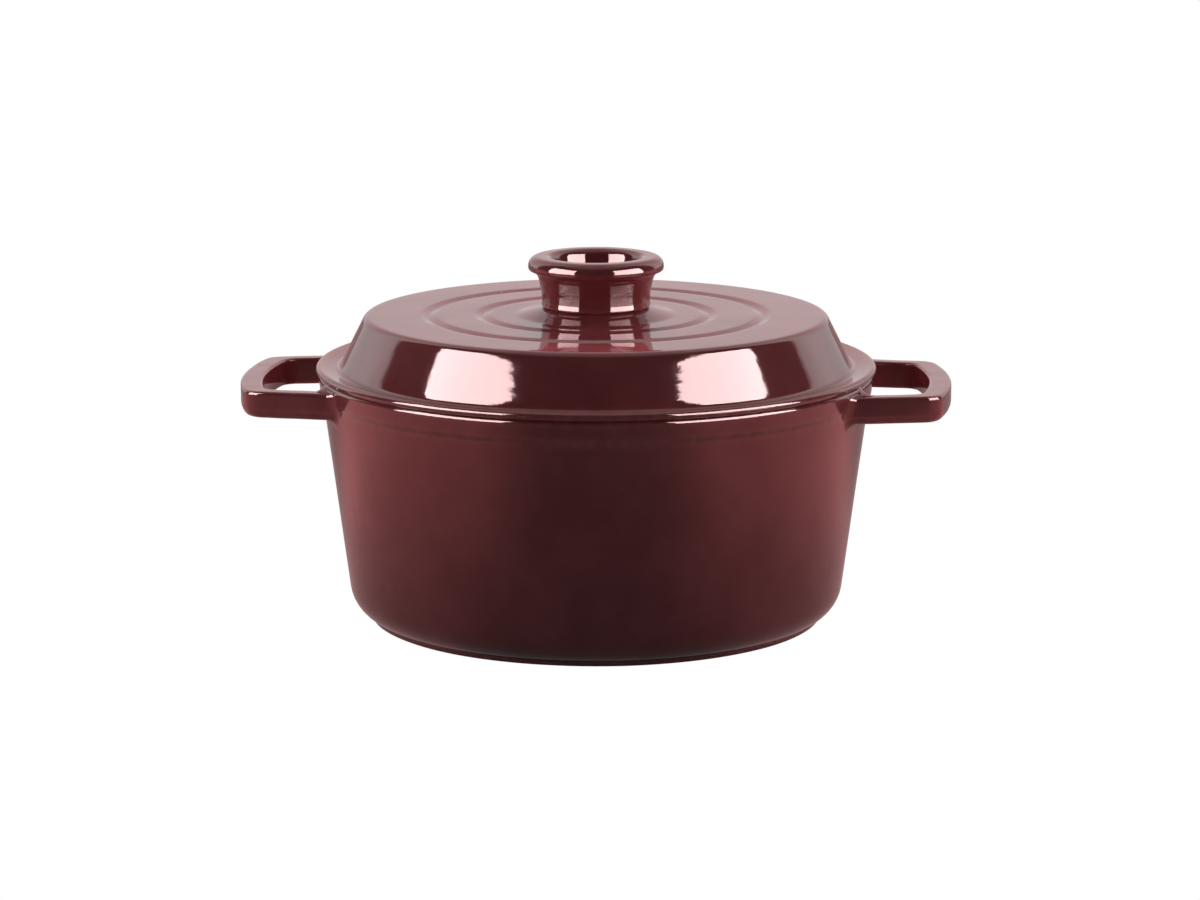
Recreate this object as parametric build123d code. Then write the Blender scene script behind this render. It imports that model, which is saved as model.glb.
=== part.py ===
from build123d import *

import math
import os

# Enamelled cast iron dutch oven: pot with two loop handles, lift-off lid, hollow knob and its screw.
# The pot stands on z = 0 and is turned about Z. The handles point along X. Lengths are millimetres.

# ---- pot casting ----
mouth_radius = 120.7
rim_height = 112.5
wall_thickness = 4.4
wall_draft = 7.5
floor_height = 6.2
floor_corner_radius = 13.0
underside_recess = 1.5
foot_outer_radius = 102.7
foot_width = 8.0
foot_height = 2.0
foot_rounding = 0.7
belly_rise = 3.9
belly_radius = 15.6
collar_height = 10.5
collar_step = 1.8
collar_proud = 0.65
rim_rounding = 1.8
rim_inner_rounding = 1.0

# ---- loop handles, cast with the pot ----
handle_reach = 34.8
handle_top_drop = 3.0
handle_thickness = 12.2
handle_half_width = 49.5
handle_taper = 9.0
handle_end_bar = 10.2
handle_side_bar = 7.4
handle_corner_radius = 9.0
handle_hole_corner_radius = 7.5
handle_root_radius = 6.0
handle_root_depth = 1.2
handle_top_rounding = 1.5
handle_bottom_rounding = 4.2
handle_hole_rounding = 1.5

# ---- lid casting ----
flange_overhang = 0.95
flange_thickness = 4.05
flange_rounding = 1.9
valley_depth = 2.4
valley_radius = 2.6
shoulder_setback = 4.4
shoulder_lean = 26.7
plateau_rise = 25.6
plateau_corner_radius = 3.6
lid_wall = 4.0
lid_inner_corner_radius = 5.0
groove_radii = (75.5, 51.2)
groove_half_width = 3.7
groove_depth = 1.15
groove_floor_radius = 3.0
groove_edge_radius = 1.6
mound_foot_radius = 35.5
mound_rise = 3.2
mound_blend_radius = 8.0
knob_seat_margin = 0.7
seat_edge_rounding = 0.4
ring_clearance = 1.6
ring_depth = 8.0
ring_width = 4.4
ring_rounding = 1.4

# ---- knob ----
knob_height = 23.3
knob_foot_radius = 23.2
knob_foot_rise = 1.0
knob_bead_radius = 24.75
knob_bead_rounding = 0.8
knob_neck_radius = 24.3
knob_neck_start = 3.4
knob_neck_rounding = 3.0
knob_waist_radius = 25.0
knob_waist_height = 9.0
knob_waist_rounding = 24.0
knob_throat_radius = 26.5
knob_throat_height = 15.6
knob_throat_rounding = 5.0
knob_lip_radius = 30.6
knob_lip_height = 17.2
knob_lip_under_rounding = 1.4
knob_lip_rounding = 4.4
knob_cup_radius = 20.0
knob_mouth_rounding = 3.6
knob_cup_depth = 13.0
knob_cup_draft = 12.9
knob_cup_floor_radius = 4.0
knob_bore_depth = 7.6

# ---- M6 fastening under the lid ----
screw_radius = 3.0
screw_length = 16.0
screw_head_radius = 6.0
screw_head_height = 4.2
screw_head_rounding = 2.6
screw_point_chamfer = 0.6
recess_length = 6.4
recess_width = 1.3
recess_depth = 2.2
thread_clearance = 0.05
lid_hole_clearance = 0.4
washer_hole_clearance = 0.2
washer_outer_radius = 9.0
washer_thickness = 1.6
spring_washer_outer_radius = 5.9
spring_washer_thickness = 1.6
spring_washer_gap = 1.0
spring_washer_gap_slant = 20.0
spring_washer_gap_height = 4.8

# ---- heights and radii that follow from the sizes above ----
plateau_height = rim_height + plateau_rise
seat_height = plateau_height + mound_rise
lid_underside = plateau_height - lid_wall
handle_top = rim_height - handle_top_drop
handle_bottom = handle_top - handle_thickness


def wall_radius(height):
    """Outer radius of the drafted pot wall at a height."""
    return mouth_radius + wall_thickness - (rim_height - height) * math.tan(math.radians(wall_draft))


rim_outer_radius = wall_radius(rim_height) + collar_proud
handle_reach_radius = rim_outer_radius + handle_reach


def turned(corners):
    """Solid of revolution about Z from (radius, height, corner rounding) points."""
    points = [(radius, height) for radius, height, rounding in corners]
    roundings = [rounding for radius, height, rounding in corners]
    outline = FilletPolyline(*points, radius=roundings, close=True)
    return revolve(Plane.XZ * make_face(outline.edges()), axis=Axis.Z)


def pot_outer():
    """Outside of the pot, solid to the rim: ground foot ring, belly, wall and collar."""
    foot_inner_radius = foot_outer_radius - foot_width
    belly_height = foot_height + belly_rise
    collar_foot = rim_height - collar_height
    collar_shoulder = collar_foot + collar_step
    return turned([
        (0, underside_recess, 0),
        (foot_inner_radius - underside_recess, underside_recess, foot_rounding),
        (foot_inner_radius, 0, foot_rounding),
        (foot_outer_radius, 0, foot_rounding),
        (foot_outer_radius, foot_height, foot_rounding),
        (wall_radius(belly_height), belly_height, belly_radius),
        (wall_radius(collar_foot), collar_foot, collar_step),
        (wall_radius(collar_shoulder) + collar_proud, collar_shoulder, collar_step),
        (rim_outer_radius, rim_height, rim_rounding),
        (0, rim_height, 0),
    ])


def pot_cavity():
    """Inside of the pot, from the floor to the rim."""
    return turned([
        (0, floor_height, 0),
        (wall_radius(floor_height) - wall_thickness, floor_height, floor_corner_radius),
        (mouth_radius, rim_height, 0),
        (0, rim_height, 0),
    ])


def tapered_plan(half_width, end_radius, corner_radius):
    """Plan outline from the pot's axis outwards: sides closing at the taper, end an arc about the axis."""
    narrowing = math.tan(math.radians(handle_taper))
    near_half = half_width + rim_outer_radius * narrowing
    far_half = half_width - (end_radius - rim_outer_radius) * narrowing
    sides = Polyline((0, -near_half), (end_radius, -far_half), (end_radius, far_half), (0, near_half),
                     close=True)
    plan = make_face(sides.edges()) & Circle(end_radius)
    return fillet(plan.vertices().sort_by(Axis.X)[-2:], corner_radius)


def handle_plate():
    """Both loops as one level plate round the pot, with rounded edges and flared roots."""
    root_circle = Circle(wall_radius(handle_bottom) - handle_root_depth)
    end_radius = handle_reach_radius - handle_end_bar
    hole_half_width = handle_half_width - handle_side_bar
    loop = tapered_plan(handle_half_width, handle_reach_radius, handle_corner_radius)
    hole = tapered_plan(hole_half_width, end_radius, handle_hole_corner_radius)
    loop = loop - hole
    plan = root_circle + loop + mirror(loop, about=Plane.YZ)
    reach_of = {vertex: math.hypot(vertex.X, vertex.Y) for vertex in plan.vertices()}
    roots = [vertex for vertex, reach in reach_of.items() if reach < root_circle.radius + 0.01]
    plan = fillet(roots, handle_root_radius)
    return extrude(Plane.XY.offset(handle_bottom) * plan, amount=handle_thickness)


def rounded_handle_plate():
    """Handle plate with its edges softened on top, rounder below, and its finger holes eased."""
    plate = handle_plate()
    bottom = plate.faces().sort_by(Axis.Z)[0]
    plate = fillet(bottom.outer_wire().edges(), handle_bottom_rounding)
    for face_index in (0, -1):
        face = plate.faces().filter_by(GeomType.PLANE).sort_by(Axis.Z)[face_index]
        hole_edges = [edge for wire in face.inner_wires() for edge in wire.edges()]
        plate = fillet(hole_edges, handle_hole_rounding)
    top = plate.faces().filter_by(GeomType.PLANE).sort_by(Axis.Z)[-1]
    return fillet(top.outer_wire().edges(), handle_top_rounding)


def pot():
    """Pot casting: turned body with both handles, hollowed from the rim."""
    body = pot_outer() + rounded_handle_plate() - pot_cavity()
    rim_face = body.faces().filter_by(GeomType.PLANE).sort_by(Axis.Z)[-1]
    return fillet(rim_face.inner_wires()[0].edges(), rim_inner_rounding)


def lid():
    """Lid casting: dished flange, sloped shoulder, grooved plateau, knob mound and locating ring."""
    lean = math.tan(math.radians(shoulder_lean))
    flange_radius = rim_outer_radius + flange_overhang
    flange_top = rim_height + flange_thickness
    valley_height = flange_top - valley_depth
    valley = mouth_radius - shoulder_setback
    plateau_radius = valley - (plateau_height - valley_height) * lean
    wall_across = lid_wall / math.cos(math.radians(shoulder_lean))
    ring_radius = mouth_radius - ring_clearance
    ring_bottom = rim_height - ring_depth
    inner_plateau_radius = plateau_radius + lid_wall * lean - wall_across
    inner_foot_radius = valley - wall_across
    grooves = []
    for radius in groove_radii:
        grooves += [
            (radius - groove_half_width, plateau_height, groove_edge_radius),
            (radius, plateau_height - groove_depth, groove_floor_radius),
            (radius + groove_half_width, plateau_height, groove_edge_radius),
        ]
    grooves.sort()
    knob_seat_radius = knob_foot_radius + knob_seat_margin
    casting = turned([
        (0, lid_underside, 0),
        (0, seat_height, 0),
        (knob_seat_radius, seat_height, seat_edge_rounding),
        (mound_foot_radius, plateau_height, mound_blend_radius),
        *grooves,
        (plateau_radius, plateau_height, plateau_corner_radius),
        (valley, valley_height, valley_radius),
        (flange_radius, flange_top, flange_rounding),
        (flange_radius, rim_height, flange_rounding),
        (ring_radius, rim_height, ring_rounding),
        (ring_radius, ring_bottom, ring_rounding),
        (ring_radius - ring_width, ring_bottom, ring_rounding),
        (inner_foot_radius, valley_height, lid_inner_corner_radius),
        (inner_plateau_radius, lid_underside, lid_inner_corner_radius),
    ])
    hole_radius = screw_radius + lid_hole_clearance
    hole = Cylinder(hole_radius, seat_height, align=(Align.CENTER, Align.CENTER, Align.MIN))
    return casting - hole


def knob():
    """Hollow knob: round foot, waisted neck, flared lip and a cup from the top."""
    top = seat_height + knob_height
    cup_floor = top - knob_cup_depth
    cup_floor_radius = knob_cup_radius - knob_cup_depth * math.tan(math.radians(knob_cup_draft))
    bore_radius = screw_radius + thread_clearance
    bore_top = seat_height + knob_bore_depth
    return turned([
        (0, bore_top, 0),
        (bore_radius, bore_top, 0),
        (bore_radius, seat_height, 0),
        (knob_foot_radius, seat_height, knob_bead_rounding),
        (knob_bead_radius, seat_height + knob_foot_rise, knob_bead_rounding),
        (knob_neck_radius, seat_height + knob_neck_start, knob_neck_rounding),
        (knob_waist_radius, seat_height + knob_waist_height, knob_waist_rounding),
        (knob_throat_radius, seat_height + knob_throat_height, knob_throat_rounding),
        (knob_lip_radius, seat_height + knob_lip_height, knob_lip_under_rounding),
        (knob_lip_radius, top, knob_lip_rounding),
        (knob_cup_radius, top, knob_mouth_rounding),
        (cup_floor_radius, cup_floor, knob_cup_floor_radius),
        (0, cup_floor, 0),
    ])


def flat_washer():
    """Plain washer against the underside of the lid."""
    washer = Cylinder(washer_outer_radius, washer_thickness)
    washer -= Cylinder(screw_radius + washer_hole_clearance, washer_thickness)
    return Pos(0, 0, lid_underside - washer_thickness / 2) * washer


def spring_washer():
    """Split lock washer, pressed flat under the screw head."""
    height = spring_washer_thickness
    ring = Cylinder(spring_washer_outer_radius, height)
    ring -= Cylinder(screw_radius + washer_hole_clearance, height)
    gap = Box(spring_washer_outer_radius * 2, spring_washer_gap, spring_washer_gap_height)
    gap = Rot(spring_washer_gap_slant, 0, 0) * gap
    ring -= Pos(spring_washer_outer_radius, 0, 0) * gap
    return Pos(0, 0, lid_underside - washer_thickness - height / 2) * ring


def knob_screw():
    """Pan head screw with a cross recess, up through the washers and the lid into the knob."""
    head_top = lid_underside - washer_thickness - spring_washer_thickness
    head_bottom = head_top - screw_head_height
    tip = head_top + screw_length
    screw = turned([
        (0, head_bottom, 0),
        (screw_head_radius, head_bottom, screw_head_rounding),
        (screw_head_radius, head_top, 0),
        (screw_radius, head_top, 0),
        (screw_radius, tip - screw_point_chamfer, 0),
        (screw_radius - screw_point_chamfer, tip, 0),
        (0, tip, 0),
    ])
    slot = Box(recess_length, recess_width, recess_depth * 2)
    cross = slot + Rot(0, 0, 90) * slot
    return screw - Pos(0, 0, head_bottom) * cross


def main():
    os.makedirs("parts", exist_ok=True)
    nodes = {
        "pot": pot(),
        "lid": lid(),
        "knob": knob(),
        "knob_screw": knob_screw(),
        "flat_washer": flat_washer(),
        "spring_washer": spring_washer(),
    }
    for name, shape in nodes.items():
        export_step(shape, f"parts/{name}.step")


main()
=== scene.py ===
import math

import bmesh
import bpy
from mathutils import Matrix, Vector, noise


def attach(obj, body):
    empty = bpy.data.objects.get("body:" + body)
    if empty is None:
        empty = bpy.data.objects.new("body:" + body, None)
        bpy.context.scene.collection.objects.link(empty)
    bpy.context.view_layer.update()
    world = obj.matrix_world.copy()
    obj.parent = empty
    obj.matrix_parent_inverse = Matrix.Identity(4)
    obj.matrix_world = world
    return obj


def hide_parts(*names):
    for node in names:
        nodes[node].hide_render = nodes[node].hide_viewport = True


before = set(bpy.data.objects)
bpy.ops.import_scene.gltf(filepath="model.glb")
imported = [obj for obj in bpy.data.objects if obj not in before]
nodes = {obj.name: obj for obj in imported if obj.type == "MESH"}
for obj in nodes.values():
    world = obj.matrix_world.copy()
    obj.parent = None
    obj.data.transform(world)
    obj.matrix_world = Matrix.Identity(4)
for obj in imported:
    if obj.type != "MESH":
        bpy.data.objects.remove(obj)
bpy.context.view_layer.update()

print("frame loaded:", sorted(nodes))

viewpoint = {
    "azimuth": 2.36,       # degrees towards the right handle
    "distance": 1.750,
    "height": 0.4266,
    "tilt": 11.355,        # degrees below level
    "aside": 0.0018,
    "lens": 117.66,
    "sensorWidth": 36.0,
    "nearest": 0.05,
    "farthest": 60.0,
}


def placeCamera():
    camera = bpy.data.objects.new("camera", bpy.data.cameras.new("camera"))
    bpy.context.scene.collection.objects.link(camera)
    camera.data.lens = viewpoint["lens"]
    camera.data.sensor_width = viewpoint["sensorWidth"]
    camera.data.clip_start = viewpoint["nearest"]
    camera.data.clip_end = viewpoint["farthest"]
    turn = Matrix.Rotation(math.radians(viewpoint["azimuth"]), 4, "Z")
    tilt = Matrix.Rotation(math.radians(90.0 - viewpoint["tilt"]), 4, "X")
    spot = Matrix.Translation((viewpoint["aside"], -viewpoint["distance"], viewpoint["height"]))
    camera.matrix_world = turn @ spot @ tilt
    bpy.context.scene.camera = camera


placeCamera()
print("camera placed")

studio = {
    "floorHalf": 14.0,
    "floorNear": 0.34,        # greys of the floor as it lights the pot, in front and behind
    "floorFar": 0.40,
    "greySpan": (-0.10, 0.20),                  # where one grey turns into the other
    "paintedReflectionFront": (0.14, 0.18, 0.18, 1.0),     # painted reflection: colours the floor glows with for glossy rays only, standing in for the lit floor
    # painted bounce light: the sides glow brighter than white and red-tinted, standing in for the lit floor
    # and the red pot's bounce
    "paintedReflectionSides": (1.50, 0.60, 0.60, 1.0),
    "paintedReflectionBack": (0.36, 0.25, 0.25, 1.0),
    "sidesStart": (12.0, 46.0),                 # degrees from the camera's line
    "backStart": (108.0, 140.0),
    "paintedFootShade": (0.125, 0.38, 0.22),           # painted shade near the foot in that painted reflection: distances from the axis, share left at the first
    "panelDistance": 1.30,
    "panelTurns": ((-61.0, 1.20), (58.4, 1.35)),     # degrees from the camera's line, width
    "panelHeight": 1.14,
    "panelFoot": 0.02,
    "panelPower": 106.0,
    "fillTurn": 100.0,
    "fillWidth": 1.2,
    "fillHeight": 1.0,
    "fillFoot": 0.05,
    "fillPower": 5.5,
    "backWidth": 0.40,
    "backHeight": 0.30,
    "backPower": 40.0,
    "backSpot": (0.0, 1.28, 0.86),
    "skyBack": 0.75,
    "skySides": 1.9,
    "skyFront": 0.07,
    "skyEdge": 117.0,         # degrees from the camera's line where the pale backdrop begins
    "skyBlur": 4.0,
    "skyFade": (124.0, 160.0),
    "skyOverhead": 0.75,
    "overheadStart": (0.80, 0.92),      # height of the direction
}


def backwards():
    # level direction away from the camera
    angle = math.radians(viewpoint["azimuth"])
    return Vector((-math.sin(angle), math.cos(angle), 0.0))


def addNode(tree, kind, settings=None, links=None):
    # a node with its settings, and links given as {input: output socket}
    node = tree.nodes.new(kind)
    for key, value in (settings or {}).items():
        if key in node.inputs:
            node.inputs[key].default_value = value
        else:
            setattr(node, key, value)
    for key, socket in (links or {}).items():
        tree.links.new(socket, node.inputs[key])
    return node


def vectorMath(tree, operation, vector, other=None):
    # the node of one sum on vectors, the second of them a plain one
    node = addNode(tree, "ShaderNodeVectorMath", {"operation": operation}, {0: vector})
    if other is not None:
        node.inputs[1].default_value = other
    return node


def mixColours(tree, share, first, second):
    # each of the three is a socket or a plain value
    blend = addNode(tree, "ShaderNodeMix", {"data_type": "RGBA"})
    for index, value in ((0, share), (6, first), (7, second)):
        if isinstance(value, bpy.types.NodeSocket):
            tree.links.new(value, blend.inputs[index])
        else:
            blend.inputs[index].default_value = value
    return blend.outputs[2]


def multiply(tree, first, second):
    return addNode(tree, "ShaderNodeMath", {"operation": "MULTIPLY"}, {0: first, 1: second}).outputs[0]


def linkObject(name, data):
    thing = bpy.data.objects.new(name, data)
    bpy.context.scene.collection.objects.link(thing)
    return thing


def awayFrom(tree, where):
    # cosine of the turn from the camera's line, -1 straight behind the pot
    level = vectorMath(tree, "MULTIPLY", where, (1.0, 1.0, 0.0))
    unit = vectorMath(tree, "NORMALIZE", level.outputs["Vector"])
    return vectorMath(tree, "DOT_PRODUCT", unit.outputs["Vector"], -backwards()).outputs["Value"]


def between(tree, value, start, end, low=0.0, high=1.0):
    # a soft step from low to high
    step = addNode(tree, "ShaderNodeMapRange", {
        "interpolation_type": "SMOOTHSTEP", "From Min": start, "From Max": end,
        "To Min": low, "To Max": high}, {"Value": value})
    return step.outputs["Result"]


def cosineOf(degrees):
    return math.cos(math.radians(degrees))


def paintedFloorReflection(tree, where):
    # painted reflection: for glossy rays the floor glows with a painted pattern, dark in front, bright red
    # at the sides as painted bounce light from the pot, pale behind, with painted shade near the foot
    facing = awayFrom(tree, where)
    reach = vectorMath(tree, "LENGTH", where).outputs["Value"]
    near, far, least = studio["paintedFootShade"]
    shade = between(tree, reach, near, far, least, 1.0)
    start, end = studio["sidesStart"]
    sides = multiply(tree, between(tree, facing, cosineOf(start), cosineOf(end)), shade)
    colour = mixColours(tree, sides, studio["paintedReflectionFront"], studio["paintedReflectionSides"])
    start, end = studio["backStart"]
    back = between(tree, facing, cosineOf(start), cosineOf(end))
    colour = mixColours(tree, back, colour, studio["paintedReflectionBack"])
    return addNode(tree, "ShaderNodeEmission", None, {"Color": colour}).outputs["Emission"]


def makeFloor():
    shape = bmesh.new()
    bmesh.ops.create_grid(shape, x_segments=8, y_segments=8, size=studio["floorHalf"])
    mesh = bpy.data.meshes.new("floor")
    shape.to_mesh(mesh)
    shape.free()
    floor = linkObject("floor", mesh)
    finish = bpy.data.materials.new("paleFloorPaintedReflection")
    finish.use_nodes = True
    tree = finish.node_tree
    tree.nodes.remove(tree.nodes["Principled BSDF"])
    where = addNode(tree, "ShaderNodeNewGeometry").outputs["Position"]
    ahead = vectorMath(tree, "DOT_PRODUCT", where, backwards())
    start, end = studio["greySpan"]
    grey = between(tree, ahead.outputs["Value"], start, end, studio["floorNear"], studio["floorFar"])
    paper = addNode(tree, "ShaderNodeBsdfDiffuse", None, {"Color": grey})
    glow = addNode(tree, "ShaderNodeEmission")
    path = addNode(tree, "ShaderNodeLightPath")
    # camera rays see an even white glow, glossy rays the painted floor reflection, diffuse rays the grey
    # paper
    seen = addNode(tree, "ShaderNodeMixShader", None, {
        0: path.outputs["Is Camera Ray"], 1: paintedFloorReflection(tree, where), 2: glow.outputs["Emission"]})
    either = addNode(tree, "ShaderNodeMixShader", None, {
        0: path.outputs["Is Diffuse Ray"], 1: seen.outputs["Shader"], 2: paper.outputs["BSDF"]})
    tree.links.new(either.outputs["Shader"], tree.nodes["Material Output"].inputs["Surface"])
    floor.data.materials.append(finish)


def makePanel(name, turn, width, height, foot, power, seenIn):
    lamp = bpy.data.lights.new(name, "AREA")
    lamp.shape = "RECTANGLE"
    lamp.size = width
    lamp.size_y = height
    lamp.energy = power
    panel = linkObject(name, lamp)
    angle = math.radians(viewpoint["azimuth"] + turn)
    reach = studio["panelDistance"]
    panel.location = (math.sin(angle) * reach, -math.cos(angle) * reach, foot + height / 2)
    facing = Vector((-math.sin(angle), math.cos(angle), 0.0))
    panel.rotation_euler = facing.to_track_quat("-Z", "Y").to_euler()
    panel.visible_camera = False
    panel.visible_glossy = seenIn == "gloss"
    panel.visible_diffuse = seenIn == "colour"
    return panel


def makeLights():
    # the softboxes show only in the gloss, the fills only in the colour
    for turn, width in studio["panelTurns"]:
        power = studio["panelPower"] * width / studio["panelTurns"][0][1]
        makePanel("softbox", turn, width, studio["panelHeight"], studio["panelFoot"], power, "gloss")
        makePanel("sideFill", math.copysign(studio["fillTurn"], turn), studio["fillWidth"],
                  studio["fillHeight"], studio["fillFoot"], studio["fillPower"], "colour")
    back = makePanel("backFill", 180.0, studio["backWidth"], studio["backHeight"], 0.0,
                     studio["backPower"], "colour")
    back.location = studio["backSpot"]
    back.rotation_euler = back.location.to_track_quat("Z", "Y").to_euler()


def makeSky():
    sky = bpy.data.worlds.new("studioSky")
    sky.use_nodes = True
    bpy.context.scene.world = sky
    tree = sky.node_tree
    background = tree.nodes["Background"]
    background.inputs["Color"].default_value = (1.0, 1.0, 1.0, 1.0)
    where = addNode(tree, "ShaderNodeTexCoord").outputs["Generated"]
    edge = studio["skyEdge"]
    blur = studio["skyBlur"] / 2
    facing = awayFrom(tree, where)
    start, end = studio["skyFade"]
    backdrop = between(tree, facing, cosineOf(start), cosineOf(end), studio["skySides"], studio["skyBack"])
    pale = between(tree, facing, cosineOf(edge - blur), cosineOf(edge + blur), studio["skyFront"])
    tree.links.new(backdrop, pale.node.inputs["To Max"])
    height = addNode(tree, "ShaderNodeSeparateXYZ", None, {"Vector": where}).outputs["Z"]
    start, end = studio["overheadStart"]
    overhead = between(tree, height, start, end, 0.0, studio["skyOverhead"])
    light = addNode(tree, "ShaderNodeMath", {"operation": "MAXIMUM"}, {0: pale, 1: overhead})
    path = addNode(tree, "ShaderNodeLightPath")
    either = addNode(tree, "ShaderNodeMix", {"B": 1.0}, {
        "Factor": path.outputs["Is Camera Ray"], "A": light.outputs["Value"]})
    tree.links.new(either.outputs["Result"], background.inputs["Strength"])


makeFloor()
makeLights()
makeSky()
bpy.context.scene.view_settings.view_transform = "Standard"
print("studio ready")

turning = {
    "around": 320,           # steps round the axis
    "arcStep": 9.0,          # degrees of an edge rounding per step
    "longest": 0.0032,       # longest straight step along a profile
    "sharpest": 0.0025,      # roundings below this count as edges, where the glaze runs thin
}


def arcPoints(centre, first, last, steps):
    # points of the arc from centre + first to centre + last
    sweep = first.angle(last)
    points = []
    for step in range(steps + 1):
        share = step / steps
        arm = (first * math.sin((1 - share) * sweep) + last * math.sin(share * sweep)) / math.sin(sweep)
        points.append(centre + arm)
    return points


def roundCorner(before, corner, after, radius):
    # points of the arc that rounds one corner of a profile
    inward = (before - corner).normalized()
    outward = (after - corner).normalized()
    half = inward.angle(outward) / 2
    back = radius / math.tan(half)
    centre = corner + (inward + outward).normalized() * (radius / math.sin(half))
    first = corner + inward * back - centre
    last = corner + outward * back - centre
    steps = max(2, math.ceil(math.degrees(first.angle(last)) / turning["arcStep"]))
    return arcPoints(centre, first, last, steps)


def profilePoints(corners):
    # (radius, height, rounding) corners to (point, edge weight) pairs along the profile
    spots = [Vector((radius, height)) for radius, height, rounding in corners]
    track = []
    for index, (radius, height, rounding) in enumerate(corners):
        if rounding > 0 and 0 < index < len(corners) - 1:
            before, after = spots[index - 1], spots[index + 1]
            sharp = 1.0 if rounding < turning["sharpest"] else 0.0
            track += [(point, sharp) for point in roundCorner(before, spots[index], after, rounding)]
        else:
            track.append((spots[index], 0.0))
    filled = [track[0]]
    for (start, startEdge), (end, endEdge) in zip(track, track[1:]):
        steps = max(1, math.ceil((end - start).length / turning["longest"]))
        for step in range(1, steps + 1):
            share = step / steps
            edge = endEdge if step == steps else 0.0
            filled.append((start.lerp(end, share), edge))
    return filled


def turnProfile(shape, corners):
    # spins a profile round Z
    edgeLayer = shape.verts.layers.float.get("edge") or shape.verts.layers.float.new("edge")
    track = profilePoints(corners)
    line = []
    for point, edge in track:
        vert = shape.verts.new((point.x, 0.0, point.y))
        vert[edgeLayer] = edge
        line.append(vert)
    edges = [shape.edges.new(pair) for pair in zip(line, line[1:])]
    bmesh.ops.spin(shape, geom=line + edges, cent=(0, 0, 0), axis=(0, 0, 1), dvec=(0, 0, 0),
                   angle=math.tau, steps=turning["around"], use_merge=True, use_duplicate=False)
    bmesh.ops.remove_doubles(shape, verts=shape.verts[:], dist=1e-6)


def waver(shape, verts, depth, length, seed):
    # slight unevenness of poured enamel: moves points along their normals
    shape.normal_update()
    offset = Vector((seed, seed * 2.0, seed * 3.0))
    for vert in verts:
        vert.co += vert.normal * depth * noise.noise(vert.co / length + offset)


potShape = {
    "mouthRadius": 0.1207,
    "rimHeight": 0.1125,
    "wall": 0.0044,
    "draft": 7.5,
    "floorHeight": 0.0062,
    "floorCorner": 0.013,
    "recess": 0.0015,
    "footOuter": 0.1027,
    "footWidth": 0.008,
    "footHeight": 0.002,
    "footRounding": 0.0007,
    "bellyRise": 0.0039,
    "bellyRadius": 0.0156,
    "collarHeight": 0.0105,
    "collarStep": 0.0018,
    "collarProud": 0.00065,
    "rimRounding": 0.0018,
    "rimInnerRounding": 0.001,
    "groundTop": 0.0002,                   # limits of the bare ring and of the liner
    "linerMargin": 0.0003,
    "linerFoot": 0.001,
    "uneven": (0.00007, 0.034, 3.0),       # depth, length and seed
}


def wallRadius(height):
    lean = math.tan(math.radians(potShape["draft"]))
    return potShape["mouthRadius"] + potShape["wall"] - (potShape["rimHeight"] - height) * lean


rimRadius = wallRadius(potShape["rimHeight"]) + potShape["collarProud"]


def potCorners():
    pot = potShape
    footInner = pot["footOuter"] - pot["footWidth"]
    bellyHeight = pot["footHeight"] + pot["bellyRise"]
    collarFoot = pot["rimHeight"] - pot["collarHeight"]
    collarTop = collarFoot + pot["collarStep"]
    return [
        (0, pot["recess"], 0),
        (footInner - pot["recess"], pot["recess"], pot["footRounding"]),
        (footInner, 0, pot["footRounding"]),
        (pot["footOuter"], 0, pot["footRounding"]),
        (pot["footOuter"], pot["footHeight"], pot["footRounding"]),
        (wallRadius(bellyHeight), bellyHeight, pot["bellyRadius"]),
        (wallRadius(collarFoot), collarFoot, pot["collarStep"]),
        (wallRadius(collarTop) + pot["collarProud"], collarTop, pot["collarStep"]),
        (rimRadius, pot["rimHeight"], pot["rimRounding"]),
        (pot["mouthRadius"], pot["rimHeight"], pot["rimInnerRounding"]),
        (wallRadius(pot["floorHeight"]) - pot["wall"], pot["floorHeight"], pot["floorCorner"]),
        (0, pot["floorHeight"], 0),
    ]


handleShape = {
    "reach": 0.0348,
    "topDrop": 0.003,
    "thick": 0.0122,
    "halfWidth": 0.0495,
    "taper": 9.0,
    "endBar": 0.0102,
    "sideBar": 0.0074,
    "cornerRadius": 0.009,
    "holeCornerRadius": 0.0075,
    "topRounding": 0.0015,
    "bottomRounding": 0.0042,
    "holeRounding": 0.0015,
    "rootSide": 0.006,        # fillets into the wall of the pot
    "rootTop": 0.0012,
    "rootBottom": 0.0055,
    "arcSteps": 6,
    "flatSteps": 4,
    "rootSteps": 8,
    "sideSteps": 9,
    "cornerSteps": 10,
    "endSteps": 40,
    "edgeLeast": 0.05,        # how far a corner has to turn before the glaze thins on it
    "collarFrom": 0.1035,     # height above which the bar meets the collar
    "buried": 0.0012,         # how far the skin runs on inside the wall
    "buriedRise": 0.001,
    "overlap": 0.00008,
    "uneven": (0.00010, 0.011, 5.0),
}


def handleRing():
    # cross-section of the bar as (share of width, offset, height, normal across, normal up)
    handle = handleShape
    top = potShape["rimHeight"] - handle["topDrop"]
    bottom = top - handle["thick"]
    corners = [
        (0, bottom, handle["holeRounding"], 180),
        (1, bottom, handle["bottomRounding"], 270),
        (1, top, handle["topRounding"], 0),
        (0, top, handle["holeRounding"], 90),
    ]
    ring = []
    for share, height, rounding, start in corners:
        across = rounding if share == 0 else -rounding
        up = rounding if height == bottom else -rounding
        for step in range(handle["arcSteps"] + 1):
            angle = math.radians(start + 90 * step / handle["arcSteps"])
            normal = (math.cos(angle), math.sin(angle))
            ring.append((share, across + rounding * normal[0], height + up + rounding * normal[1], *normal))
    return ring


def filledRing():
    # the same ring with steps along its flats
    ring = handleRing()
    filled = []
    for index, spot in enumerate(ring):
        filled.append(spot)
        after = ring[(index + 1) % len(ring)]
        if (index + 1) % (handleShape["arcSteps"] + 1) == 0:
            for step in range(1, handleShape["flatSteps"]):
                share = step / handleShape["flatSteps"]
                filled.append(tuple(a + (b - a) * share for a, b in zip(spot[:3], after[:3])) + spot[3:])
    return filled


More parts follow.
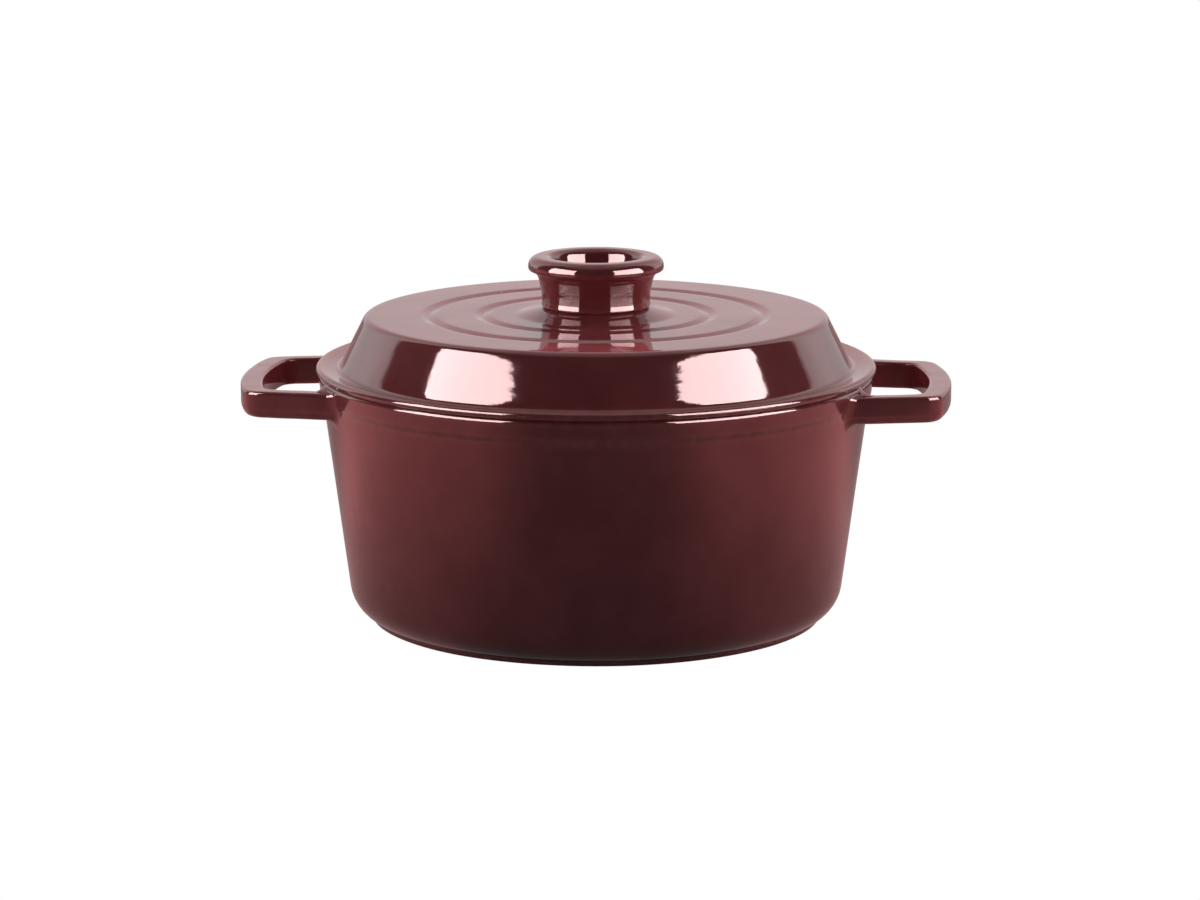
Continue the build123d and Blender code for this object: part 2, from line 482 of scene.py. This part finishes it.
def outlineOf(halfWidth, endRadius, cornerRadius):
    # side line, corner arc and end arc of one plan outline, for the half where y is positive
    taper = math.radians(handleShape["taper"])
    normal = Vector((math.sin(taper), math.cos(taper)))
    along = Vector((math.cos(taper), -math.sin(taper)))
    offset = normal.dot(Vector((rimRadius, halfWidth)))
    inner = offset - cornerRadius
    centre = normal * inner + along * math.sqrt((endRadius - cornerRadius) ** 2 - inner ** 2)
    return {"normal": normal, "along": along, "offset": offset, "centre": centre,
            "cornerRadius": cornerRadius, "endRadius": endRadius}


def outlinePoint(outline, section, share):
    # a plan point: section is "corner" or "end"
    centre = outline["centre"]
    lineAngle = math.atan2(outline["normal"].y, outline["normal"].x)
    endAngle = math.atan2(centre.y, centre.x)
    if section == "corner":
        angle = lineAngle + (endAngle - lineAngle) * share
        return centre + outline["cornerRadius"] * Vector((math.cos(angle), math.sin(angle)))
    angle = endAngle * (1 - 2 * share)
    return outline["endRadius"] * Vector((math.cos(angle), math.sin(angle)))


def handleStations(outer, inner):
    # pairs of plan points from one corner round the end to the other corner
    handle = handleShape
    pairs = []
    for step in range(handle["cornerSteps"] + 1):
        share = step / handle["cornerSteps"]
        pairs.append((outlinePoint(outer, "corner", share), outlinePoint(inner, "corner", share)))
    for step in range(1, handle["endSteps"]):
        share = step / handle["endSteps"]
        pairs.append((outlinePoint(outer, "end", share), outlinePoint(inner, "end", share)))
    flip = Vector((1, -1))
    pairs += [(a * flip, b * flip) for a, b in reversed(pairs[:handle["cornerSteps"] + 1])]
    return pairs


def rootRadius(across, up):
    handle = handleShape
    upright = handle["rootTop"] if up > 0 else handle["rootBottom"]
    return handle["rootSide"] * across ** 2 + upright * up ** 2


def rootPoints(corner, height, across, up, outline):
    # one line of the bar's skin, from inside the wall along the side to the bar's corner
    handle = handleShape
    along = Vector((outline["along"].x, outline["along"].y, 0.0))
    wall = wallRadius(height) + (potShape["collarProud"] if height > handle["collarFrom"] else 0.0)
    start = Vector((corner.x, corner.y, 0.0))
    ahead = start.dot(along)
    hit = start + along * (-ahead + math.sqrt(ahead ** 2 - start.length_squared + wall ** 2))
    hit.z = height
    lean = math.radians(potShape["draft"])
    face = Vector((hit.x, hit.y, 0.0)).normalized() * math.cos(lean)
    face.z = -math.sin(lean)
    side = Vector((outline["normal"].x * across, outline["normal"].y * across, up))
    slope = (side - along * (side.dot(face) / along.dot(face))).normalized()
    radius = rootRadius(across, up)
    half = along.angle(slope) / 2
    back = radius / math.tan(half)
    centre = hit + (along + slope).normalized() * (radius / math.sin(half))
    arc = arcPoints(centre, hit + slope * back - centre, hit + along * back - centre, handle["rootSteps"])
    gap = max(math.hypot(arc[0].x, arc[0].y) - wallRadius(arc[0].z), 0.0) + handle["overlap"]
    points = [hit + slope * (back + handle["buriedRise"]) - face * handle["buried"]]
    for step, point in enumerate(arc):
        inward = Vector((point.x, point.y, 0.0)).normalized()
        points.append(point - inward * gap * (1 - step / handle["rootSteps"]) ** 2)
    straight = points[-1].copy()
    end = Vector((corner.x, corner.y, height))
    for step in range(1, handle["sideSteps"]):
        points.append(straight.lerp(end, step / handle["sideSteps"]))
    return points


def makeHandle(shape, mirror):
    handle = handleShape
    edgeLayer = shape.verts.layers.float.get("edge")
    holeHalf = handle["halfWidth"] - handle["sideBar"]
    reachRadius = rimRadius + handle["reach"]
    outer = outlineOf(handle["halfWidth"], reachRadius, handle["cornerRadius"])
    inner = outlineOf(holeHalf, reachRadius - handle["endBar"], handle["holeCornerRadius"])
    ring = filledRing()
    pairs = handleStations(outer, inner)
    lines = []
    for share, offset, height, across, up in ring:
        mids = []
        for outerPoint, innerPoint in pairs:
            width = (outerPoint - innerPoint).length
            toward = (outerPoint - innerPoint) / width
            spot = innerPoint + toward * (share * width + offset)
            mids.append(Vector((spot.x, spot.y, height)))
        root = rootPoints(mids[0].to_2d(), height, across, up, outer)
        flip = Vector((1, -1, 1))
        lines.append(root + mids + [point * flip for point in reversed(root)])
    turn = -1 if mirror else 1
    grid = []
    for line, (share, offset, height, across, up) in zip(lines, ring):
        edge = 1.0 if abs(across * up) > handle["edgeLeast"] else 0.0
        column = []
        for point in line:
            vert = shape.verts.new((point.x * turn, point.y, point.z))
            vert[edgeLayer] = edge
            column.append(vert)
        grid.append(column)
    for index, column in enumerate(grid):
        after = grid[(index + 1) % len(grid)]
        for step in range(len(column) - 1):
            corners = (column[step], column[step + 1], after[step + 1], after[step])
            shape.faces.new(corners if mirror else corners[::-1])
    for row in (0, -1):
        shape.faces.new([column[row] for column in grid])
    return [vert for column in grid for vert in column]


lidShape = {
    "overhang": 0.00095,
    "flangeThick": 0.00405,
    "flangeRounding": 0.0019,
    "valleyDepth": 0.0024,
    "valleyRadius": 0.0026,
    "setback": 0.0044,
    "lean": 26.7,
    "rise": 0.0256,
    "plateauCorner": 0.0036,
    "wall": 0.004,
    "innerCorner": 0.005,
    "grooves": (0.0512, 0.0755),
    "grooveHalf": 0.0037,
    "grooveDepth": 0.00115,
    "grooveFloor": 0.003,
    "grooveEdge": 0.0026,
    "moundFoot": 0.0355,
    "moundRise": 0.0032,
    "moundBlend": 0.008,
    "seatRadius": 0.0239,
    "seatEdge": 0.0004,
    "ringClearance": 0.0016,
    "ringDepth": 0.008,
    "ringWidth": 0.0044,
    "ringRounding": 0.0014,
    "holeRadius": 0.0034,
    "underTilt": 0.05,        # limits of the liner under the lid
    "underMargin": 0.002,
    "uneven": (0.00007, 0.030, 8.0),
}
plateauHeight = potShape["rimHeight"] + lidShape["rise"]
seatHeight = plateauHeight + lidShape["moundRise"]
lidUnderside = plateauHeight - lidShape["wall"]


def lidCorners():
    lid = lidShape
    rim = potShape["rimHeight"]
    lean = math.tan(math.radians(lid["lean"]))
    flangeRadius = rimRadius + lid["overhang"]
    flangeTop = rim + lid["flangeThick"]
    valleyHeight = flangeTop - lid["valleyDepth"]
    valley = potShape["mouthRadius"] - lid["setback"]
    plateau = valley - (plateauHeight - valleyHeight) * lean
    across = lid["wall"] / math.cos(math.radians(lid["lean"]))
    ring = potShape["mouthRadius"] - lid["ringClearance"]
    ringBottom = rim - lid["ringDepth"]
    corners = [
        (lid["holeRadius"], lidUnderside, 0),
        (lid["holeRadius"], seatHeight, 0),
        (lid["seatRadius"], seatHeight, lid["seatEdge"]),
        (lid["moundFoot"], plateauHeight, lid["moundBlend"]),
    ]
    for radius in lid["grooves"]:
        corners += [
            (radius - lid["grooveHalf"], plateauHeight, lid["grooveEdge"]),
            (radius, plateauHeight - lid["grooveDepth"], lid["grooveFloor"]),
            (radius + lid["grooveHalf"], plateauHeight, lid["grooveEdge"]),
        ]
    corners += [
        (plateau, plateauHeight, lid["plateauCorner"]),
        (valley, valleyHeight, lid["valleyRadius"]),
        (flangeRadius, flangeTop, lid["flangeRounding"]),
        (flangeRadius, rim, lid["flangeRounding"]),
        (ring, rim, lid["ringRounding"]),
        (ring, ringBottom, lid["ringRounding"]),
        (ring - lid["ringWidth"], ringBottom, lid["ringRounding"]),
        (valley - across, valleyHeight, lid["innerCorner"]),
        (plateau + lid["wall"] * lean - across, lidUnderside, lid["innerCorner"]),
        (lid["holeRadius"], lidUnderside, 0),
    ]
    return corners


knobShape = {
    "height": 0.0233,
    "footRadius": 0.0232,
    "footRise": 0.0010,
    "beadRadius": 0.02475,
    "beadRounding": 0.0008,
    "neckRadius": 0.0243,
    "neckStart": 0.0034,
    "neckRounding": 0.003,
    "waistRadius": 0.0250,
    "waistHeight": 0.0090,
    "waistRounding": 0.024,
    "throatRadius": 0.0265,
    "throatHeight": 0.0156,
    "throatRounding": 0.005,
    "lipRadius": 0.0306,
    "lipHeight": 0.0172,
    "lipUnderRounding": 0.0014,
    "lipRounding": 0.0044,
    "cupRadius": 0.0200,
    "mouthRounding": 0.0036,
    "cupDepth": 0.013,
    "cupDraft": 12.9,
    "cupFloorRounding": 0.004,
    "boreRadius": 0.00305,
    "boreDepth": 0.0076,
    "uneven": (0.00004, 0.014, 11.0),
}


def knobCorners():
    knob = knobShape
    top = seatHeight + knob["height"]
    cupFloor = top - knob["cupDepth"]
    cupFloorRadius = knob["cupRadius"] - knob["cupDepth"] * math.tan(math.radians(knob["cupDraft"]))
    return [
        (0, seatHeight + knob["boreDepth"], 0),
        (knob["boreRadius"], seatHeight + knob["boreDepth"], 0),
        (knob["boreRadius"], seatHeight, 0),
        (knob["footRadius"], seatHeight, knob["beadRounding"]),
        (knob["beadRadius"], seatHeight + knob["footRise"], knob["beadRounding"]),
        (knob["neckRadius"], seatHeight + knob["neckStart"], knob["neckRounding"]),
        (knob["waistRadius"], seatHeight + knob["waistHeight"], knob["waistRounding"]),
        (knob["throatRadius"], seatHeight + knob["throatHeight"], knob["throatRounding"]),
        (knob["lipRadius"], seatHeight + knob["lipHeight"], knob["lipUnderRounding"]),
        (knob["lipRadius"], top, knob["lipRounding"]),
        (knob["cupRadius"], top, knob["mouthRounding"]),
        (cupFloorRadius, cupFloor, knob["cupFloorRounding"]),
        (0, cupFloor, 0),
    ]


def finishPiece(shape, name, node, body, zones):
    # zones(centre, normal) gives a face its material's place in the piece
    bmesh.ops.recalc_face_normals(shape, faces=shape.faces[:])
    shape.normal_update()
    for face in shape.faces:
        face.smooth = True
        face.material_index = zones(face.calc_center_median(), face.normal)
    mesh = bpy.data.meshes.new(name)
    shape.to_mesh(mesh)
    shape.free()
    piece = linkObject(name, mesh)
    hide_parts(node)
    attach(piece, body)
    print("made", name, len(mesh.polygons), "faces")
    return piece


def potZones(centre, normal):
    pot = potShape
    radius = centre.to_2d().length
    if centre.z < pot["groundTop"] and radius > pot["footOuter"] - pot["footWidth"]:
        return 2
    inside = radius < wallRadius(centre.z) - pot["wall"] + pot["linerMargin"]
    return 1 if inside and centre.z > pot["floorHeight"] - pot["linerFoot"] else 0


def makePot():
    shape = bmesh.new()
    turnProfile(shape, potCorners())
    waver(shape, shape.verts, *potShape["uneven"])
    depth, length, seed = handleShape["uneven"]
    for mirror in (False, True):
        skin = makeHandle(shape, mirror)
        faces = {face for vert in skin for face in vert.link_faces}
        bmesh.ops.recalc_face_normals(shape, faces=list(faces))
        waver(shape, skin, depth, length, seed + mirror)
    return finishPiece(shape, "potCasting", "pot", "pot", potZones)


def lidZones(centre, normal):
    inside = centre.to_2d().length < potShape["mouthRadius"] - lidShape["underMargin"]
    return 1 if inside and normal.z < lidShape["underTilt"] else 0


def makeLid():
    shape = bmesh.new()
    turnProfile(shape, lidCorners())
    waver(shape, shape.verts, *lidShape["uneven"])
    return finishPiece(shape, "lidCasting", "lid", "lid", lidZones)


def makeKnob():
    shape = bmesh.new()
    turnProfile(shape, knobCorners())
    waver(shape, shape.verts, *knobShape["uneven"])
    return finishPiece(shape, "knobCasting", "knob", "lid", lambda centre, normal: 0)


enamelLook = {
    "deep": (0.150, 0.029, 0.033, 1.0),
    "light": (0.190, 0.041, 0.046, 1.0),
    "thin": (0.26, 0.070, 0.065, 1.0),      # over the sharp edges, where the glaze runs thin
    "fleck": (0.060, 0.012, 0.014, 1.0),
    "thinShare": 0.45,
    "fleckShare": 0.5,
    "tint": (1.0, 0.68, 0.68, 1.0),
    "roughLow": 0.035,
    "roughHigh": 0.065,
    "rippleScale": 150.0,
    "rippleDepth": 0.00003,
    "peelScale": 620.0,
    "peelDepth": 0.00001,
}

linerLook = {
    "deep": (0.60, 0.52, 0.40, 1.0),
    "light": (0.68, 0.60, 0.48, 1.0),
    "thin": (0.50, 0.40, 0.28, 1.0),
    "fleck": (0.22, 0.15, 0.10, 1.0),
    "thinShare": 0.4,
    "fleckShare": 0.35,
    "tint": (1.0, 1.0, 1.0, 1.0),
    "roughLow": 0.12,
    "roughHigh": 0.20,
    "rippleScale": 120.0,
    "rippleDepth": 0.00006,
    "peelScale": 560.0,
    "peelDepth": 0.000015,
}

# ground underside of the foot ring: bare, dark and matt
footLook = {
    "deep": (0.030, 0.024, 0.022, 1.0),
    "light": (0.085, 0.075, 0.068, 1.0),
    "metallic": 0.0,
    "grainScale": 900.0,
    "grainDetail": 5.0,
    "grainDepth": 0.00008,
    "grainSpread": (0.3, 0.7),
    "stretch": (1.0, 1.0, 1.0),
    "roughLow": 0.45,
    "roughHigh": 0.75,
}

# turned stainless steel of the screw and washers
steelLook = {
    "deep": (0.46, 0.46, 0.47, 1.0),
    "light": (0.66, 0.66, 0.67, 1.0),
    "metallic": 1.0,
    "grainScale": 380.0,
    "grainDetail": 4.0,
    "grainDepth": 0.00001,
    "grainSpread": (0.3, 0.7),
    "stretch": (1.0, 1.0, 6.0),
    "roughLow": 0.22,
    "roughHigh": 0.42,
}

glazeGrain = {
    "cloudScale": 38.0,
    "cloudDetail": 3.0,
    "cloudSpread": (0.35, 0.65),
    "breakUpScale": 210.0,         # breaks up the thin glaze along the edges
    "breakUpDetail": 4.0,
    "breakUpSpread": (0.42, 0.62),
    "thinLeast": 0.15,
    "fleckScale": 300.0,
    "fleckChance": (0.92, 0.93),
    "fleckSize": (0.06, 0.16),
    "fleckPit": -2.0,              # depth of a fleck against the peel's
    "wornScale": 95.0,
    "wornDetail": 5.0,
    "wornSpread": (0.3, 0.7),
    "rippleDetail": 1.0,
    "peelDetail": 2.0,
}


def startMaterial(name):
    finish = bpy.data.materials.new(name)
    finish.use_nodes = True
    tree = finish.node_tree
    where = addNode(tree, "ShaderNodeTexCoord").outputs["Object"]
    return finish, tree, tree.nodes["Principled BSDF"], where


def spreadOut(tree, value, low, high, least=0.0, most=1.0):
    ramp = addNode(tree, "ShaderNodeMapRange", {
        "From Min": low, "From Max": high, "To Min": least, "To Max": most}, {"Value": value})
    return ramp.outputs["Result"]


def addBumps(tree, surface, layers):
    # layers of (height socket, depth in metres), coarse first
    before = None
    for height, depth in layers:
        bump = addNode(tree, "ShaderNodeBump", {"Strength": 1.0, "Distance": depth}, {"Height": height})
        if before:
            tree.links.new(before, bump.inputs["Normal"])
        before = bump.outputs["Normal"]
    tree.links.new(before, surface.inputs["Normal"])


def noiseOf(tree, where, scale, detail):
    settings = {"Scale": scale, "Detail": detail}
    return addNode(tree, "ShaderNodeTexNoise", settings, {"Vector": where}).outputs["Fac"]


def fleckSocket(tree, where, look):
    # small dark dots in a few of the cells
    grain = glazeGrain
    cells = addNode(tree, "ShaderNodeTexVoronoi", {"Scale": grain["fleckScale"]}, {"Vector": where})
    chance = addNode(tree, "ShaderNodeSeparateColor", None, {"Color": cells.outputs["Color"]})
    chosen = spreadOut(tree, chance.outputs["Red"], *grain["fleckChance"])
    dot = spreadOut(tree, cells.outputs["Distance"], *grain["fleckSize"], look["fleckShare"], 0.0)
    return multiply(tree, chosen, dot)


def glazeMaterial(name, look):
    # vitreous enamel: cloudy colour, small flecks, thin over edges, rippled and peeled surface
    grain = glazeGrain
    finish, tree, surface, where = startMaterial(name)
    surface.inputs["Specular Tint"].default_value = look["tint"]
    cloud = noiseOf(tree, where, grain["cloudScale"], grain["cloudDetail"])
    colour = mixColours(tree, spreadOut(tree, cloud, *grain["cloudSpread"]), look["deep"], look["light"])
    edge = addNode(tree, "ShaderNodeAttribute", {"attribute_name": "edge"})
    breakUp = noiseOf(tree, where, grain["breakUpScale"], grain["breakUpDetail"])
    patchy = spreadOut(tree, breakUp, *grain["breakUpSpread"], grain["thinLeast"], look["thinShare"])
    colour = mixColours(tree, multiply(tree, edge.outputs["Fac"], patchy), colour, look["thin"])
    speck = fleckSocket(tree, where, look)
    colour = mixColours(tree, speck, colour, look["fleck"])
    tree.links.new(colour, surface.inputs["Base Color"])
    worn = noiseOf(tree, where, grain["wornScale"], grain["wornDetail"])
    rough = spreadOut(tree, worn, *grain["wornSpread"], look["roughLow"], look["roughHigh"])
    tree.links.new(rough, surface.inputs["Roughness"])
    ripple = noiseOf(tree, where, look["rippleScale"], grain["rippleDetail"])
    peel = noiseOf(tree, where, look["peelScale"], grain["peelDetail"])
    addBumps(tree, surface, [(ripple, look["rippleDepth"]), (peel, look["peelDepth"]),
                             (speck, grain["fleckPit"] * look["peelDepth"])])
    return finish


def grainedMaterial(name, look):
    # one grain drives the colour, the roughness and the bump
    finish, tree, surface, where = startMaterial(name)
    stretched = vectorMath(tree, "MULTIPLY", where, look["stretch"]).outputs["Vector"]
    grain = noiseOf(tree, stretched, look["grainScale"], look["grainDetail"])
    colour = mixColours(tree, grain, look["deep"], look["light"])
    tree.links.new(colour, surface.inputs["Base Color"])
    rough = spreadOut(tree, grain, *look["grainSpread"], look["roughLow"], look["roughHigh"])
    tree.links.new(rough, surface.inputs["Roughness"])
    addBumps(tree, surface, [(grain, look["grainDepth"])])
    surface.inputs["Metallic"].default_value = look["metallic"]
    return finish


enamel = glazeMaterial("burgundyEnamel", enamelLook)
liner = glazeMaterial("sandLiner", linerLook)
ground = grainedMaterial("groundIron", footLook)
steel = grainedMaterial("turnedSteel", steelLook)
pot = makePot()
lid = makeLid()
knob = makeKnob()
for piece, finishes in ((pot, (enamel, liner, ground)), (lid, (enamel, liner)), (knob, (enamel,))):
    for finish in finishes:
        piece.data.materials.append(finish)
for name in ("knob_screw", "flat_washer", "spring_washer"):
    nodes[name].data.materials.clear()
    nodes[name].data.materials.append(steel)
print("materials ready")
